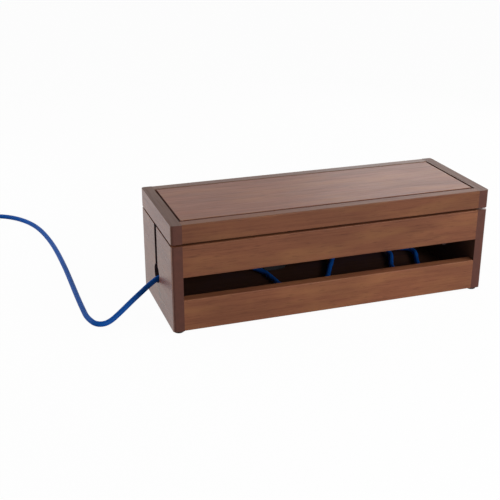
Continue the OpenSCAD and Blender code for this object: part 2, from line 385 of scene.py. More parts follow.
def grain_patterns(tree, axis, seed, table):
    """Noise drawn out along the grain, as sockets by name that run from 0 to 1.

    A row of the table holds a pattern's name, the length and width of its patches in
    millimetres, its detail, and the two levels of noise that become 0 and 1.
    """
    place = add_node(tree, "ShaderNodeTexCoord", {})
    patterns = {}
    for row, (name, length_mm, width_mm, detail, low, high) in enumerate(table):
        scale = [1 / (width_mm * MM)] * 3
        scale[axis] = 1 / (length_mm * MM)
        shift = seed + 3 * row
        mapping = add_node(tree, "ShaderNodeMapping", {
            "Vector": place.outputs["Object"], "Scale": scale,
            "Location": (shift, 1.7 * shift, 2.3 * shift)})
        noise = add_node(tree, "ShaderNodeTexNoise", {
            "Vector": mapping.outputs["Vector"], "Scale": 1.0, "Detail": detail})
        level = add_node(tree, "ShaderNodeMapRange", {
            "Value": noise.outputs["Fac"], "From Min": low, "From Max": high})
        patterns[name] = level.outputs["Result"]
    return patterns


def walnut(name, grain, seed, hue, tone, grey, specular, roughness):
    """Rubberwood or alder boards, planed, sanded and wiped with a walnut stain under satin lacquer.

    To the eye: fine straight lines along the board, soft clouds of darker and more golden stain
    and short dark pores. Lacquer gives a broad sheen that greys the colour at a low angle.
    """
    wood = bpy.context.scene.cablebox_wood
    axis = "XYZ".index(grain)

    def make_shader(tree):
        # Growth lines 3.5 mm apart that run almost the whole board, bundles of fibres of 1.1 mm,
        # and pores, which are 0.1 mm wide in the wood and drawn at 0.9 mm so that they show
        patterns = grain_patterns(tree, axis, seed, (
            ("lines", 400, 3.5, 3, 0.34, 0.66),
            ("fibres", 45, 1.1, 3, 0.3, 0.7),
            ("clouds", 110, 26, 2, 0.3, 0.7),
            ("gold", 80, 18, 3, 0.46, 0.7),
            ("pores", 14, 0.9, 2, 0.58, 0.74)))
        figure = add_node(tree, "ShaderNodeMath", {
            0: patterns["lines"], 1: patterns["fibres"]}, operation="MULTIPLY")
        # 6 and 7 are a mix node's colour inputs, 2 is its colour output
        lined = add_node(tree, "ShaderNodeMix", {
            0: figure.outputs[0], 6: list(wood.face_color), 7: list(wood.streak_color)},
            data_type="RGBA")
        golden = add_node(tree, "ShaderNodeMix", {
            0: patterns["gold"], 6: lined.outputs[2], 7: list(wood.golden_color)},
            data_type="RGBA")
        level = add_node(tree, "ShaderNodeMapRange", {
            "Value": patterns["clouds"], "To Min": 0.88 * tone, "To Max": 1.12 * tone})
        shaded = add_node(tree, "ShaderNodeHueSaturation", {
            "Hue": hue, "Saturation": 1.0 - grey, "Value": level.outputs[0],
            "Color": golden.outputs[2]})
        pitted = add_node(tree, "ShaderNodeMath", {
            0: patterns["pores"], 1: 0.5}, operation="MULTIPLY")
        dotted = add_node(tree, "ShaderNodeMix", {
            0: pitted.outputs[0], 6: shaded.outputs[0], 7: list(wood.pore_color)},
            data_type="RGBA")
        height = add_node(tree, "ShaderNodeMath", {
            0: patterns["fibres"], 1: patterns["pores"]}, operation="SUBTRACT")
        # The smoother the lacquer, the more it fills the pores
        bump = add_node(tree, "ShaderNodeBump", {
            "Strength": 0.4 * roughness ** 2, "Distance": 0.08 * MM,
            "Height": height.outputs[0]})
        rough = add_node(tree, "ShaderNodeMapRange", {
            "Value": patterns["fibres"], "To Min": 0.85 * roughness,
            "To Max": 1.15 * roughness})
        return add_node(tree, "ShaderNodeBsdfPrincipled", {
            "Base Color": dotted.outputs[2], "Roughness": rough.outputs[0], "IOR": 1.5,
            "Specular IOR Level": specular, "Normal": bump.outputs["Normal"]})

    return surface_material(name, make_shader)


def end_grain(name, grain, seed):
    """The same boards where they are cut across: the open fibres drink stain and lacquer. On the
    lid panel it also covers the walls of the groove round it, as painted shade.

    To the eye: darker and redder than the face, with fine dots and hardly any sheen.
    """
    wood = bpy.context.scene.cablebox_wood
    axis = "XYZ".index(grain)

    def make_shader(tree):
        # Pores seen end on, which are drawn at 0.8 mm so that they show, and growth rings of 7 mm
        patterns = grain_patterns(tree, axis, seed, (
            ("dots", 30, 0.8, 2, 0.4, 0.7),
            ("rings", 400, 7, 2, 0.3, 0.7)))
        level = add_node(tree, "ShaderNodeMapRange", {
            "Value": patterns["rings"], "To Min": 1.1, "To Max": 0.9})
        shade = add_node(tree, "ShaderNodeHueSaturation", {
            "Value": level.outputs[0], "Color": list(wood.end_color)})
        dotting = add_node(tree, "ShaderNodeMath", {
            0: patterns["dots"], 1: 0.3}, operation="MULTIPLY")
        color = add_node(tree, "ShaderNodeMix", {
            0: dotting.outputs[0], 6: shade.outputs[0], 7: list(wood.pore_color)},
            data_type="RGBA")
        bump = add_node(tree, "ShaderNodeBump", {
            "Strength": 0.25, "Distance": 0.08 * MM, "Height": patterns["dots"]})
        rough = add_node(tree, "ShaderNodeMapRange", {
            "Value": patterns["dots"], "To Min": 0.5, "To Max": 0.62})
        return add_node(tree, "ShaderNodeBsdfPrincipled", {
            "Base Color": color.outputs[2], "Roughness": rough.outputs[0], "IOR": 1.5,
            "Specular IOR Level": 0.3, "Normal": bump.outputs["Normal"]})

    return surface_material(name, make_shader)


def dull_stain(name, grain, seed, color):
    """The same boards, wiped with stain and not lacquered, inside the box, where the colour is also
    darkened to paint the shade; in the cable holes the colour is near-black painted shade.

    To the eye: dark brown and dull, with the grain just showing.
    """
    axis = "XYZ".index(grain)

    def make_shader(tree):
        # Bundles of fibres of 1.4 mm, and growth lines 7 mm apart
        patterns = grain_patterns(tree, axis, seed, (
            ("fibres", 60, 1.4, 3, 0.3, 0.7),
            ("lines", 500, 7, 2, 0.3, 0.7)))
        level = add_node(tree, "ShaderNodeMapRange", {
            "Value": patterns["lines"], "To Min": 1.15, "To Max": 0.85})
        shade = add_node(tree, "ShaderNodeHueSaturation", {
            "Value": level.outputs[0], "Color": list(color)})
        bump = add_node(tree, "ShaderNodeBump", {
            "Strength": 0.3, "Distance": 0.08 * MM, "Height": patterns["fibres"]})
        rough = add_node(tree, "ShaderNodeMapRange", {
            "Value": patterns["fibres"], "To Min": 0.6, "To Max": 0.75})
        return add_node(tree, "ShaderNodeBsdfPrincipled", {
            "Base Color": shade.outputs[0], "Roughness": rough.outputs[0], "IOR": 1.5,
            "Specular IOR Level": 0.3, "Normal": bump.outputs["Normal"]})

    return surface_material(name, make_shader)


def moulded(name, color, roughness, grain_mm, depth_mm, specular=0.5):
    """Plastic or rubber out of a mould or die: one colour that wavers a little over 25 mm.

    The fine texture on it is grain_mm wide and depth_mm deep.
    """

    def make_shader(tree):
        place = add_node(tree, "ShaderNodeTexCoord", {})
        grain = add_node(tree, "ShaderNodeTexNoise", {
            "Vector": place.outputs["Object"], "Scale": 1 / (grain_mm * MM), "Detail": 2.0})
        waver = add_node(tree, "ShaderNodeTexNoise", {
            "Vector": place.outputs["Object"], "Scale": 1 / (25 * MM), "Detail": 1.0})
        level = add_node(tree, "ShaderNodeMapRange", {
            "Value": waver.outputs["Fac"], "From Min": 0.3, "From Max": 0.7, "To Min": 0.93,
            "To Max": 1.07})
        shade = add_node(tree, "ShaderNodeHueSaturation", {
            "Value": level.outputs[0], "Color": list(color)})
        bump = add_node(tree, "ShaderNodeBump", {
            "Strength": 0.4, "Distance": depth_mm * MM, "Height": grain.outputs["Fac"]})
        rough = add_node(tree, "ShaderNodeMapRange", {
            "Value": grain.outputs["Fac"], "From Min": 0.3, "From Max": 0.7,
            "To Min": roughness - 0.05, "To Max": roughness + 0.05})
        return add_node(tree, "ShaderNodeBsdfPrincipled", {
            "Base Color": shade.outputs[0], "Roughness": rough.outputs[0], "IOR": 1.5,
            "Specular IOR Level": specular, "Normal": bump.outputs["Normal"]})

    return surface_material(name, make_shader)


def nickel_plate():
    """Nickel-plated brass pins, turned and barrel-plated: pale warm metal with a soft shine."""

    def make_shader(tree):
        place = add_node(tree, "ShaderNodeTexCoord", {})
        wear = add_node(tree, "ShaderNodeTexNoise", {
            "Vector": place.outputs["Object"], "Scale": 1 / (1.5 * MM), "Detail": 3.0})
        rough = add_node(tree, "ShaderNodeMapRange", {
            "Value": wear.outputs["Fac"], "From Min": 0.3, "From Max": 0.7, "To Min": 0.18,
            "To Max": 0.3})
        return add_node(tree, "ShaderNodeBsdfPrincipled", {
            "Base Color": linear("#c9c5ba"), "Metallic": 1.0, "Roughness": rough.outputs[0]})

    return surface_material("nickel_plated_brass", make_shader)


def beech():
    """Fluted beech dowels, bare and glued in: pale pinkish tan with short brown flecks."""

    def make_shader(tree):
        flecks = grain_patterns(tree, 0, 2, (("flecks", 3, 0.5, 2, 0.55, 0.7),))["flecks"]
        color = add_node(tree, "ShaderNodeMix", {
            0: flecks, 6: linear("#cfae80"), 7: linear("#a67c50")}, data_type="RGBA")
        rough = add_node(tree, "ShaderNodeMapRange", {
            "Value": flecks, "To Min": 0.6, "To Max": 0.7})
        return add_node(tree, "ShaderNodeBsdfPrincipled", {
            "Base Color": color.outputs[2], "Roughness": rough.outputs[0], "IOR": 1.5})

    return surface_material("beech", make_shader)


def woven_strap(color):
    """A hook-and-loop strap of woven nylon: dull black, with ribs of yarn about 1 mm apart."""

    def make_shader(tree):
        place = add_node(tree, "ShaderNodeTexCoord", {})
        # The pattern runs along x + y + z, and its wave of 1.6 mm there is 0.9 mm in space
        ribs = add_node(tree, "ShaderNodeTexWave", {
            "Vector": place.outputs["Object"], "Scale": math.pi / (10 * 0.8 * MM),
            "Distortion": 1.5, "Detail": 1.0}, bands_direction="DIAGONAL")
        # The colour follows the ribs' height: the hollows are painted darker as shade and the
        # crests lighter as light
        level = add_node(tree, "ShaderNodeMapRange", {
            "Value": ribs.outputs["Fac"], "To Min": 0.7, "To Max": 1.3})
        shade = add_node(tree, "ShaderNodeHueSaturation", {
            "Value": level.outputs[0], "Color": list(color)})
        bump = add_node(tree, "ShaderNodeBump", {
            "Strength": 0.6, "Distance": 0.2 * MM, "Height": ribs.outputs["Fac"]})
        return add_node(tree, "ShaderNodeBsdfPrincipled", {
            "Base Color": shade.outputs[0], "Roughness": 0.85, "IOR": 1.5,
            "Normal": bump.outputs["Normal"]})

    return surface_material("woven_nylon", make_shader)


def dress(obj, *materials):
    """Gives the object these materials in place of its own."""
    obj.data.materials.clear()
    for material in materials:
        obj.data.materials.append(material)


def paint(obj, index, chosen):
    """Gives one of the object's materials to the faces for which chosen() is true."""
    for face in obj.data.polygons:
        if chosen(face):
            face.material_index = index


# ---- boards ----

# Grain direction, pattern place, hue (0.5 is the stain as it is, less is redder), tone, greyness,
# specular level and roughness of each board
BOARDS = {
    "left_end_panel": ("Y", 3.1, 0.494, 1.05, 0.0, 1.0, 0.3),
    "right_end_panel": ("Y", 8.4, 0.494, 1.05, 0.0, 1.0, 0.3),
    "front_lower_slat": ("X", 5.7, 0.5, 1.0, 0.0, 0.17, 0.45),
    "front_upper_slat": ("X", 1.3, 0.5, 0.93, 0.0, 0.17, 0.45),
    "back_panel": ("X", 11.9, 0.5, 0.97, 0.0, 0.17, 0.45),
    "lid_left_rail": ("Y", 6.6, 0.5, 0.48, 0.05, 0.2, 0.42),
    "lid_right_rail": ("Y", 9.2, 0.5, 0.58, 0.1, 0.15, 0.45),
    "lid_front_rail": ("X", 2.2, 0.5, 0.81, 0.0, 0.17, 0.42),
    "lid_back_rail": ("X", 7.5, 0.5, 0.7, 0.15, 0.33, 0.42),
    "lid_panel": ("X", 4.4, 0.496, 1.06, 0.0, 0.33, 0.42),
}


# Material slots of a board, beside the first one for its lacquered faces; the last is a lid rail's
# outer face
CUT_ACROSS_AND_GROOVE_SHADE, INSIDE, IN_HOLE, OVER_BOARD = range(1, 5)

# The board under a lid rail whose outer face is lacquered in one coat with the rail's, and the way
# that both of them face
UNDER_RAIL = {
    "lid_left_rail": ("left_end_panel", -1, 0, 0),
    "lid_right_rail": ("right_end_panel", 1, 0, 0),
    "lid_back_rail": ("back_panel", 0, 1, 0),
}


def stain(board, node, inside):
    """Stains a board: lacquered, cut across, dull where inside() is true, and in its cable hole;
    the dull colours are darkened to paint the shade inside and in the hole.
    """
    wood = bpy.context.scene.cablebox_wood
    grain, seed, *_ = BOARDS[node]
    # The dull materials inside and in the hole carry darkened colours: painted shade
    dress(board, walnut("walnut_stain_" + node, *BOARDS[node]),
          end_grain("end_grain_" + node, grain, seed),
          dull_stain("dull_stain_" + node, grain, seed, wood.inside_stain_and_shade_color),
          dull_stain("hole_stain_" + node, grain, seed, wood.hole_wall_shade_color))
    axis = "XYZ".index(grain)
    paint(board, CUT_ACROSS_AND_GROOVE_SHADE, lambda f: abs(f.normal[axis]) > 0.7)
    paint(board, INSIDE, inside)


def end_board(name, side):
    """An upright or lid board at one end of the box, with its two outer corners rounded."""
    low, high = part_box(name)
    outer = high.x if side > 0 else low.x
    board = cuboid("stained_" + name, low, high)
    return round_edges(board, lambda e: runs_along(e, 2) and abs(middle(e).x - outer) < MM,
                       bpy.context.scene.cablebox_wood.corner_radius, 6)


def long_board(name):
    """A board between the end boards, with its four long edges rounded."""
    board = cuboid("stained_" + name, *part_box(name))
    return round_edges(board, lambda e: runs_along(e, 0),
                       bpy.context.scene.cablebox_wood.edge_radius, 4)


def floor_room():
    """The room that the floor panel takes in the grooves of the walls."""
    return cuboid("cutter", *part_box("floor_panel"))


class CABLEBOX_OT_end_panels(bpy.types.Operator):
    """Makes the two end panels with their keyhole cable slots"""

    bl_idname = "cablebox.end_panels"
    bl_label = "End Panels"

    def execute(self, context):
        wood = context.scene.cablebox_wood
        low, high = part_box("left_end_panel")
        over = 5 * MM
        half = Vector((0, wood.slot_width / 2, 0))
        mid = Vector(((low.x + high.x) / 2, HOLE_CENTRE.y, HOLE_CENTRE.z))
        out = Vector(((high.x - low.x) / 2 + over, 0, 0))

        def in_keyhole(face):
            return (abs(face.normal.x) < 0.5 and abs(face.center.y - mid.y) < HOLE_RADIUS + MM
                    and mid.z - HOLE_RADIUS - MM < face.center.z < high.z - wood.arris)

        left = end_board("left_end_panel", -1)
        combine(left, (rod("cutter", HOLE_RADIUS, mid - out, mid + out, 64),
                       cuboid("cutter", mid - out - half,
                              Vector((mid.x, mid.y, high.z + over)) + out + half),
                       floor_room(), node_copy("wall_dowels")))
        for board, side in ((left, -1), (twin(left, "right_end_panel", mirrored=True), 1)):
            ease(board, 2 * wood.arris, 3)
            node = board.name.removeprefix("stained_")
            stain(board, node, lambda f: side * f.normal.x < -0.9)
            # The walls of the keyhole hole and slot get the near-black painted shade
            paint(board, IN_HOLE, in_keyhole)
            finish_piece(board, "box", "walnut", node)
        return {"FINISHED"}


class CABLEBOX_OT_slats(bpy.types.Operator):
    """Makes the two front slats and the back panel"""

    bl_idname = "cablebox.slats"
    bl_label = "Slats and Back"

    def execute(self, context):
        wood = context.scene.cablebox_wood
        upper = combine(long_board("front_upper_slat"), [node_copy("wall_dowels")])
        lower = combine(twin(upper, "front_lower_slat"), [floor_room()])
        back = combine(long_board("back_panel"), [floor_room(), node_copy("wall_dowels")])
        for board, inward in ((upper, 1), (lower, 1), (back, -1)):
            node = board.name.removeprefix("stained_")
            ease(board, wood.arris)
            stain(board, node, lambda f: inward * f.normal.y > 0.9)
            finish_piece(board, "box", "walnut", node)
        return {"FINISHED"}


class CABLEBOX_OT_inner_wood(bpy.types.Operator):
    """Makes the floor panel, the four corner blocks, and dresses the dowels"""

    bl_idname = "cablebox.inner_wood"
    bl_label = "Floor, Blocks and Dowels"

    def execute(self, context):
        wood = context.scene.cablebox_wood
        floor = ease(cuboid("stained_floor_panel", *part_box("floor_panel")), wood.arris)
        # The floor panel is all in the inside colour, darkened to paint the shade in the box
        dress(floor, dull_stain("dull_stain_floor", "X", 2.9, wood.inside_stain_and_shade_color))
        finish_piece(floor, "box", "walnut_inside", "floor_panel")
        # Above the rim a block stands back from the walls, so that the lid drops over it
        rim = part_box("left_end_panel")[1].z
        low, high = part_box("front_left_block")
        play = wood.lid_play
        start = Vector((low.x - play, low.y - play, rim))
        block = combine(cuboid("stained_front_left_block", low, high), (
            cuboid("cutter", start, (low.x + play, high.y + play, high.z + play)),
            cuboid("cutter", start, (high.x + play, low.y + play, high.z + play))))
        blocks = [block, twin(block, "front_right_block", 90), twin(block, "back_right_block", 180),
                  twin(block, "back_left_block", 270)]
        # The corner blocks take the same inside colour, darkened as painted shade
        stained = dull_stain("dull_stain_blocks", "Z", 5.1, wood.inside_stain_and_shade_color)
        for block in blocks:
            ease(block, wood.arris)
            dress(block, stained)
            finish_piece(block, "box", "walnut_inside", block.name.removeprefix("stained_"))
        pegs = beech()
        for name in ("wall_dowels", "lid_dowels"):
            dress(frame["nodes"][name], pegs)
        return {"FINISHED"}


class CABLEBOX_OT_lid(bpy.types.Operator):
    """Makes the lid: two end rails, two long rails and the panel between them"""

    bl_idname = "cablebox.lid"
    bl_label = "Lid"

    def execute(self, context):
        wood = context.scene.cablebox_wood
        low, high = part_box("lid_panel")
        inner_x = -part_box("lid_left_rail")[1].x - wood.shadow_width
        tongue_top = high.z - wood.shadow_depth
        tongue_low = tongue_top - wood.tongue
        play = Vector((wood.tongue_play, wood.tongue_play, 0))
        # The end rails are sanded rounder than the long ones
        for made, name, opposite, rounding in (
                (end_board("lid_left_rail", -1), "lid_left_rail", "lid_right_rail",
                 2 * wood.arris),
                (long_board("lid_front_rail"), "lid_front_rail", "lid_back_rail", wood.arris)):
            combine(made, (cuboid("cutter", Vector((low.x, low.y, tongue_low)) - play,
                                  Vector((high.x, high.y, tongue_top)) + play),
                           node_copy("lid_dowels")))
            for rail, node in ((made, name), (twin(made, opposite, 180), opposite)):
                ease(rail, rounding)
                stain(rail, node, lambda f: f.normal.z < -0.9)
                if node in UNDER_RAIL:
                    board, *outward = UNDER_RAIL[node]
                    rail.data.materials.append(bpy.data.materials["walnut_stain_" + board])
                    paint(rail, OVER_BOARD, lambda f: f.normal.dot(outward) > 0.9)
                finish_piece(rail, "lid", "walnut", node)
        # The panel starts as its tongue; its top and its underside are then inset and drawn out
        panel = cuboid("stained_lid_panel", (low.x, low.y, tongue_low),
                       (high.x, high.y, tongue_top))
        for up, travel in ((1, high.z - tongue_top), (-1, tongue_low - low.z)):
            edit(panel, "FACE", lambda f: f.normal.z * up > 0.9)
            bpy.ops.mesh.inset(thickness=high.x - inner_x)
            draw_out(z=up * travel)
            leave(panel)
        ease(panel, 1.5 * wood.arris, 3)
        stain(panel, "lid_panel", lambda f: f.normal.z < -0.9)
        # The panel's walls down in the groove round it take the darker end-grain material: painted
        # shade in the groove
        paint(panel, CUT_ACROSS_AND_GROOVE_SHADE, lambda f: abs(f.normal.z) < 0.3)
        finish_piece(panel, "lid", "walnut", "lid_panel")
        return {"FINISHED"}


# Width of the flat rim round the cup in a foot, and the width and depth of the cup's slope
CUP_RIM = 1.2 * MM
CUP_SLOPE = 0.6 * MM
CUP_DEPTH = 0.4 * MM


class CABLEBOX_OT_feet(bpy.types.Operator):
    """Makes the four rubber feet"""

    bl_idname = "cablebox.feet"
    bl_label = "Feet"

    def execute(self, context):
        settings = context.scene.cablebox_lead
        # Cast rubber discs: dull and brown-black
        rubber = moulded("cast_rubber", settings.rubber_color, 0.75, 0.4, 0.05)
        low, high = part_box("front_left_foot")
        centre = (low + high) / 2
        radius = (high.x - low.x) / 2
        foot = rod("rubber_front_left_foot", radius, (centre.x, centre.y, low.z),
                   (centre.x, centre.y, high.z), 48)
        round_edges(foot, lambda e: middle(e).z < low.z + NEAR, settings.foot_edge, 4)
        # A shallow cup in the underside grips like a sucker
        edit(foot, "FACE", lambda f: f.normal.z < -0.99 and middle(f).z < low.z + NEAR)
        bpy.ops.mesh.inset(thickness=CUP_RIM)
        bpy.ops.mesh.inset(thickness=CUP_SLOPE, depth=-CUP_DEPTH)
        leave(foot)
        others = [twin(foot, name) for name in ("front_right_foot", "back_left_foot",
                                                "back_right_foot")]
        for foot in (foot, *others):
            ease(foot, 0.15 * MM)
            dress(foot, rubber)
            finish_piece(foot, "box", "foot_rubber", foot.name.removeprefix("rubber_"))
        return {"FINISHED"}


# ---- lead ----

# The lead's middle line in millimetres: from the connector over the floor panel in loops, out of
# the left hole and over the table to the coil
LEAD_LINE = (
    (-4, 49.5, 18.7), (38, 54.4, 16.4), (134, 54.5, 15.7), (157, 44, 17.2), (161, 30, 16.4),
    (153.8, 11, 15.6), (140.5, -17.5, 15.6), (126, -29, 15.6), (110.5, -21, 15.6),
    (110.5, -4, 15.6), (119.8, 17.3, 15.6), (126.8, 34, 16.9), (122, 50, 20.8), (90, 56.2, 22.6),
    (52, 46.5, 20.4), (35.9, 25, 15.9), (10.5, -18, 15.6), (-18, -41, 15.6), (-45, -19, 15.6),
    (-50, 9.5, 15.6), (-53.8, 31, 16.4), (-70, 49.5, 18.6), (-101, 54.5, 17), (-135, 41.5, 24.5),
    (-170, 15.5, 37), (-187, 8, 39.2), (-200, 4.5, 38.4), (-228, -8.1, 24.8), (-257, -19.8, 7.6),
    (-267.5, -24.2, 4), (-276.5, -24, 3.4), (-283, -16.5, 3.4), (-288, 8, 3.4),
    (-290.8, 180, 3.4), (-298, 277, 3.4), (-314, 343, 3.4), (-344, 384.5, 3.4), (-393, 403.5, 3.8))
# From the coil to the plug's sleeve
TAIL_LINE = ((-451.4, 350, 10.4), (-451.5, 318, 7))
# Turns of the coil, and the angle in degrees where they start
COIL_TURNS = 3.25
COIL_START = 90


def coil_line(lead):
    """Points of the coil's turns, in metres: two beside each other, then two on top of them."""
    low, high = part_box("lead_coil")
    centre = (low + high) / 2
    step = lead.diameter + lead.coil_play
    inner, outer = (lead.coil_diameter - step) / 2, (lead.coil_diameter + step) / 2
    bottom = low.z + step / 2
    # Radius and height at each number of turns; the lead moves over between them
    course = ((0, outer, bottom), (0.7, outer, bottom), (0.92, inner, bottom), (1.5, inner, bottom),
              (1.7, inner, bottom + step), (2.25, inner, bottom + step),
              (2.5, outer, bottom + step), (COIL_TURNS, outer, bottom + step))
    points = []
    count = round(COIL_TURNS * lead.points_per_turn)
    for i in range(count + 1):
        turn = i * COIL_TURNS / count
        before, after = next((a, b) for a, b in zip(course, course[1:]) if turn <= b[0])
        share = (turn - before[0]) / (after[0] - before[0])
        share = share * share * (3 - 2 * share)
        radius, z = (before[k] + (after[k] - before[k]) * share for k in (1, 2))
        angle = math.radians(COIL_START) + turn * math.tau
        points.append(Vector((centre.x + radius * math.cos(angle),
                              centre.y + radius * math.sin(angle), z)))
    return points


def smooth_spline(line, points):
    """One spline through the points, whose handles reach a third of the way to the next point."""
    spline = line.splines.new("BEZIER")
    spline.bezier_points.add(len(points) - 1)
    spline.resolution_u = 10
    for i, knot in enumerate(spline.bezier_points):
        before, after = points[max(i - 1, 0)], points[min(i + 1, len(points) - 1)]
        heading = (after - before).normalized()
        knot.handle_left_type = "FREE"
        knot.handle_right_type = "FREE"
        knot.co = points[i]
        knot.handle_left = points[i] - heading * (points[i] - before).length / 3
        knot.handle_right = points[i] + heading * (after - points[i]).length / 3


class CABLEBOX_OT_lead(bpy.types.Operator):
    """Makes the lead as one smooth curve, from the connector to the plug"""

    bl_idname = "cablebox.lead"
    bl_label = "Lead"

    def execute(self, context):
        lead = context.scene.cablebox_lead
        points = [Vector(p) * MM for p in LEAD_LINE] + coil_line(lead)
        points += [Vector(p) * MM for p in TAIL_LINE]
        line = bpy.data.curves.new("mains_lead", "CURVE")
        line.dimensions = "3D"
        line.bevel_depth = lead.diameter / 2
        line.bevel_resolution = 6
        line.use_fill_caps = True
        line.twist_mode = "MINIMUM"
        smooth_spline(line, points)
        piece = bpy.data.objects.new("mains_lead", line)
        context.scene.collection.objects.link(piece)
        # Extruded flexible PVC: satin, with a faint ripple from the twisted cores under it
        line.materials.append(
            moulded("extruded_flexible_pvc", lead.jacket_color, 0.4, 3.0, 0.015, 0.06))
        finish_piece(piece, "box", "lead_jacket", "lead", "lead_coil", "lead_tail")
        return {"FINISHED"}


# Ribs of a sleeve, the share of each rib's pitch that is groove, its height over the groove, and
# how far the first one lies below the faces of its moulding and reaches into it
SLEEVE_RIBS = 5
GROOVE_SHARE = 0.35
RIB_HEIGHT = 0.8 * MM
SLEEVE_STEP = 1 * MM
# Rounding of a moulding's edges, and the margin and depth of its grip panels
MOULDING_EDGE = 2 * MM
GRIP_MARGIN = 2 * MM
GRIP_DEPTH = 0.4 * MM
# Lengths over which the plug and the connector widen from their sleeves
PLUG_NECK = 14 * MM
CONNECTOR_NECK = 12 * MM
# Radius and depth of the connector's two contact holes, and how far they are from its middle
CONTACT_RADIUS = 1.3 * MM
CONTACT_DEPTH = 18 * MM
CONTACT_OFFSET = 4.3 * MM
# Rounding of a pin's tip, and how far its insulated collar stands out
PIN_TIP = 1.2 * MM
PIN_COLLAR = 0.1 * MM


def ribbed_sleeve(lead, thickness):
    """Strain relief along -Y that ends at y = 0: ribs that get thinner towards the lead."""
    pitch = lead.sleeve_length / SLEEVE_RIBS
    groove = GROOVE_SHARE * pitch
    thick, thin = thickness / 2 - SLEEVE_STEP, lead.diameter / 2 + RIB_HEIGHT
    y = -lead.sleeve_length + pitch - groove
    sleeve = rod("sleeve", thick, (0, -lead.sleeve_length - SLEEVE_STEP, 0), (0, y, 0))
    edit(sleeve, "FACE", lambda f: f.normal.y > 0.9)
    for rib in range(1, SLEEVE_RIBS):
        radius = thick + (thin - thick) * rib / (SLEEVE_RIBS - 1)
        bpy.ops.mesh.inset(thickness=RIB_HEIGHT)
        draw_out(y=groove)
        y += groove
        draw_out()
        last = thick + (thin - thick) * (rib - 1) / (SLEEVE_RIBS - 1) - RIB_HEIGHT
        bpy.ops.transform.resize(value=(radius / last, 1, radius / last), center_override=(0, y, 0))
        draw_out(y=pitch - groove)
        y += pitch - groove
    return leave(sleeve)


def moulding(node, turn, width, thickness, neck, lead):
    """Flat moulded body with a ribbed sleeve, made along -Y and turned into the node's place.

    The body widens from its sleeve over the length of its neck, and has a shallow grip panel on
    its top and its underside.
    """
    low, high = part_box(node)
    length = max(high.x - low.x, high.y - low.y)
    shoulder = -lead.sleeve_length - neck
    body = cuboid("moulded_" + node, (-width / 2, -length, -thickness / 2),
                  (width / 2, shoulder, thickness / 2))
    edit(body, "FACE", lambda f: f.normal.y > 0.9)
    draw_out(y=neck)
    bpy.ops.transform.resize(value=(thickness / width, 1, 1),
                             center_override=(0, -lead.sleeve_length, 0))
    leave(body)
    round_edges(body, lambda e: not (runs_along(e, 0) and abs(middle(e).y - shoulder) < MM),
                MOULDING_EDGE, 4)
    for up in (1, -1):
        edit(body, "FACE", lambda f: f.normal.z * up > 0.99
             and abs(middle(f).z) > thickness / 2 - NEAR)
        bpy.ops.mesh.inset(thickness=GRIP_MARGIN, depth=-GRIP_DEPTH)
        leave(body)
    combine(body, [ribbed_sleeve(lead, thickness)], "UNION")
    body.rotation_euler.z = math.radians(turn)
    settle(body)
    body.location = low - Vector(min(v.co[k] for v in body.data.vertices) for k in range(3))
    return settle(body)


class CABLEBOX_OT_fittings(bpy.types.Operator):
    """Makes the plug, its pins and the connector, and dresses the strap round the coil"""

    bl_idname = "cablebox.fittings"
    bl_label = "Plug, Connector and Strap"

    def execute(self, context):
        lead = context.scene.cablebox_lead
        # Overmoulded PVC from a spark-eroded mould: black and half matt; the texture of 0.2 mm is
        # drawn at 0.5 mm so that it shows
        black = moulded("moulded_pvc", lead.moulding_color, 0.5, 0.5, 0.06)
        low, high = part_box("lead_plug")
        plug = moulding("lead_plug", 0, high.x - low.x, high.z - low.z, PLUG_NECK, lead)
        low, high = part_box("lead_connector")
        connector = moulding("lead_connector", -90, high.y - low.y, high.z - low.z,
                             CONNECTOR_NECK, lead)
        # Two contact holes in its free end
        centre = (low + high) / 2
        for side in (-1, 1):
            y = centre.y + side * CONTACT_OFFSET
            combine(connector, [rod("cutter", CONTACT_RADIUS, (low.x - MM, y, centre.z),
                                    (low.x + CONTACT_DEPTH, y, centre.z))])
        for body, node in ((plug, "lead_plug"), (connector, "lead_connector")):
            ease(body, 0.2 * MM)
            dress(body, black)
            finish_piece(body, "box", "moulding", node)
        # Each pin: an insulated collar next to the plug, a bare length, and a rounded tip
        low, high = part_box("plug_pins")
        radius = (high.z - low.z) / 2
        centre = (low + high) / 2
        bare = (high.y - low.y) / 2
        pin = rod("plated_plug_pins", radius, (low.x + radius, low.y + bare, centre.z),
                  (low.x + radius, high.y, centre.z))
        edit(pin, "FACE", lambda f: f.normal.y < -0.9)
        bpy.ops.mesh.inset(thickness=PIN_COLLAR)
        draw_out(y=-bare)
        leave(pin)
        round_edges(pin, lambda e: middle(e).y < low.y + NEAR, PIN_TIP, 4)
        bpy.ops.object.duplicate()
        other = bpy.context.object
        other.location.x = high.x - low.x - 2 * radius
        settle(other)
        pick(pin, other)
        bpy.ops.object.join()
        ease(pin, 0.1 * MM)
        dress(pin, nickel_plate(), black)
        paint(pin, 1, lambda f: f.center.y > low.y + bare + NEAR)
        finish_piece(pin, "box", "pin_metal", "plug_pins")
        dress(frame["nodes"]["coil_tie"], woven_strap(lead.moulding_color))
        return {"FINISHED"}


# ---- stage ----

def softbox(name, place, width, height, power):
    """A rectangular area lamp that is aimed at the box."""
    lamp = bpy.data.lights.new(name, "AREA")
    lamp.shape = "RECTANGLE"
    lamp.size = width
    lamp.size_y = height
    lamp.energy = power
    holder = bpy.data.objects.new(name, lamp)
    holder.location = place
    aim = LAMP_AIM - holder.location
    holder.rotation_euler = aim.to_track_quat("-Z", "Y").to_euler()
    bpy.context.scene.collection.objects.link(holder)


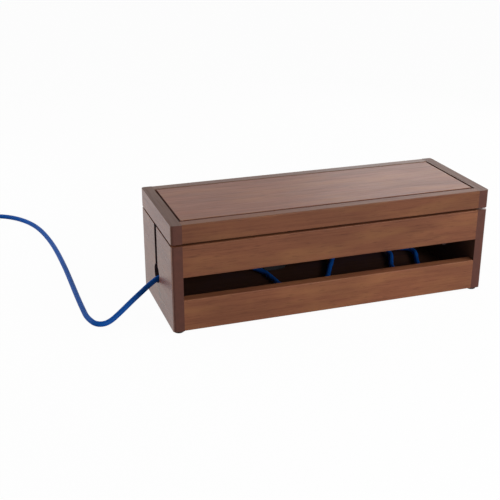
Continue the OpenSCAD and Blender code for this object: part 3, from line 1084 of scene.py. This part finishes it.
def studio_world(sky):
    """White to the camera, in reflections and through glass; a weaker light for the rest."""
    world = bpy.data.worlds.new("studio")
    world.use_nodes = True
    tree = world.node_tree
    tree.nodes.clear()
    ray = add_node(tree, "ShaderNodeLightPath", {})
    seen = add_node(tree, "ShaderNodeMath", {
        0: ray.outputs["Is Camera Ray"], 1: ray.outputs["Is Glossy Ray"]}, operation="MAXIMUM")
    through = add_node(tree, "ShaderNodeMath", {
        0: seen.outputs[0], 1: ray.outputs["Is Transmission Ray"]}, operation="MAXIMUM")
    strength = add_node(tree, "ShaderNodeMix", {"Factor": through.outputs[0], "A": sky, "B": 1.0})
    background = add_node(tree, "ShaderNodeBackground", {
        "Color": (1, 1, 1, 1), "Strength": strength.outputs[0]})
    add_node(tree, "ShaderNodeOutputWorld", {"Surface": background.outputs[0]})
    return world


def paper_floor(color):
    """Matt white background paper: it looks white, and the object's shadow just shows on it."""

    def make_shader(tree):
        matt = add_node(tree, "ShaderNodeBsdfDiffuse", {"Color": list(color)})
        white = add_node(tree, "ShaderNodeEmission", {"Color": (1, 1, 1, 1), "Strength": 1.0})
        ray = add_node(tree, "ShaderNodeLightPath", {})
        # How much of the white each kind of ray sees over the lit paper
        glossy = add_node(tree, "ShaderNodeMath", {
            0: ray.outputs["Is Glossy Ray"], 1: 0.55}, operation="MULTIPLY")
        through = add_node(tree, "ShaderNodeMath", {
            0: ray.outputs["Is Transmission Ray"], 1: 0.85, 2: glossy.outputs[0]},
            operation="MULTIPLY_ADD")
        share = add_node(tree, "ShaderNodeMath", {
            0: ray.outputs["Is Camera Ray"], 1: 0.97, 2: through.outputs[0]},
            operation="MULTIPLY_ADD")
        return add_node(tree, "ShaderNodeMixShader", {
            0: share.outputs[0], 1: matt.outputs[0], 2: white.outputs[0]})

    return surface_material("background_paper", make_shader)


class CABLEBOX_OT_stage(bpy.types.Operator):
    """Sets up the camera, the floor and the light"""

    bl_idname = "cablebox.stage"
    bl_label = "Stage"

    def execute(self, context):
        stage = context.scene.cablebox_stage
        scene = context.scene
        scene.view_settings.view_transform = "Standard"
        camera = bpy.data.cameras.new("camera")
        camera.sensor_width = CAMERA_SENSOR
        camera.lens = CAMERA_LENS
        holder = bpy.data.objects.new("camera", camera)
        holder.location = CAMERA_PLACE
        holder.rotation_euler = [math.radians(a) for a in CAMERA_TURN]
        scene.collection.objects.link(holder)
        scene.camera = holder
        scene.world = studio_world(stage.sky)
        for name, (place, width, height) in SOFTBOXES.items():
            softbox(name + "_softbox", place, width, height, getattr(stage, name + "_power"))
        bpy.ops.object.select_all(action="DESELECT")
        bpy.ops.mesh.primitive_plane_add(size=PAPER_SIZE, location=PAPER_PLACE)
        floor = settle(bpy.context.object, "floor")
        dress(floor, paper_floor(stage.floor_color))
        return {"FINISHED"}


class CABLEBOX_PT_builder(bpy.types.Panel):
    """Lists the steps in the order that they are run"""

    bl_idname = "CABLEBOX_PT_builder"
    bl_label = "Cable Box"
    bl_space_type = "VIEW_3D"
    bl_region_type = "UI"
    bl_category = "Cable Box"

    def draw(self, context):
        column = self.layout.column(align=True)
        for step in STEPS:
            column.operator(step.bl_idname)
        for settings in SETTINGS:
            group = getattr(context.scene, settings)
            for name in SETTINGS[settings].__annotations__:
                column.prop(group, name)


STEPS = (CABLEBOX_OT_stage, CABLEBOX_OT_fittings, CABLEBOX_OT_lead, CABLEBOX_OT_end_panels,
         CABLEBOX_OT_slats, CABLEBOX_OT_inner_wood, CABLEBOX_OT_lid, CABLEBOX_OT_feet)
SETTINGS = {"cablebox_wood": CABLEBOX_PG_wood, "cablebox_lead": CABLEBOX_PG_lead,
            "cablebox_stage": CABLEBOX_PG_stage}
CLASSES = (*SETTINGS.values(), *STEPS, CABLEBOX_PT_builder)


def register():
    for entry in CLASSES:
        bpy.utils.register_class(entry)
    for name, group in SETTINGS.items():
        setattr(bpy.types.Scene, name, PointerProperty(type=group))


def unregister():
    for name in SETTINGS:
        delattr(bpy.types.Scene, name)
    for entry in reversed(CLASSES):
        bpy.utils.unregister_class(entry)


def main():
    register()
    bpy.ops.cablebox.stage()
    bpy.ops.cablebox.fittings()
    bpy.ops.cablebox.lead()
    bpy.ops.cablebox.end_panels()
    bpy.ops.cablebox.slats()
    bpy.ops.cablebox.inner_wood()
    bpy.ops.cablebox.lid()
    bpy.ops.cablebox.feet()


if __name__ == "__main__":
    main()
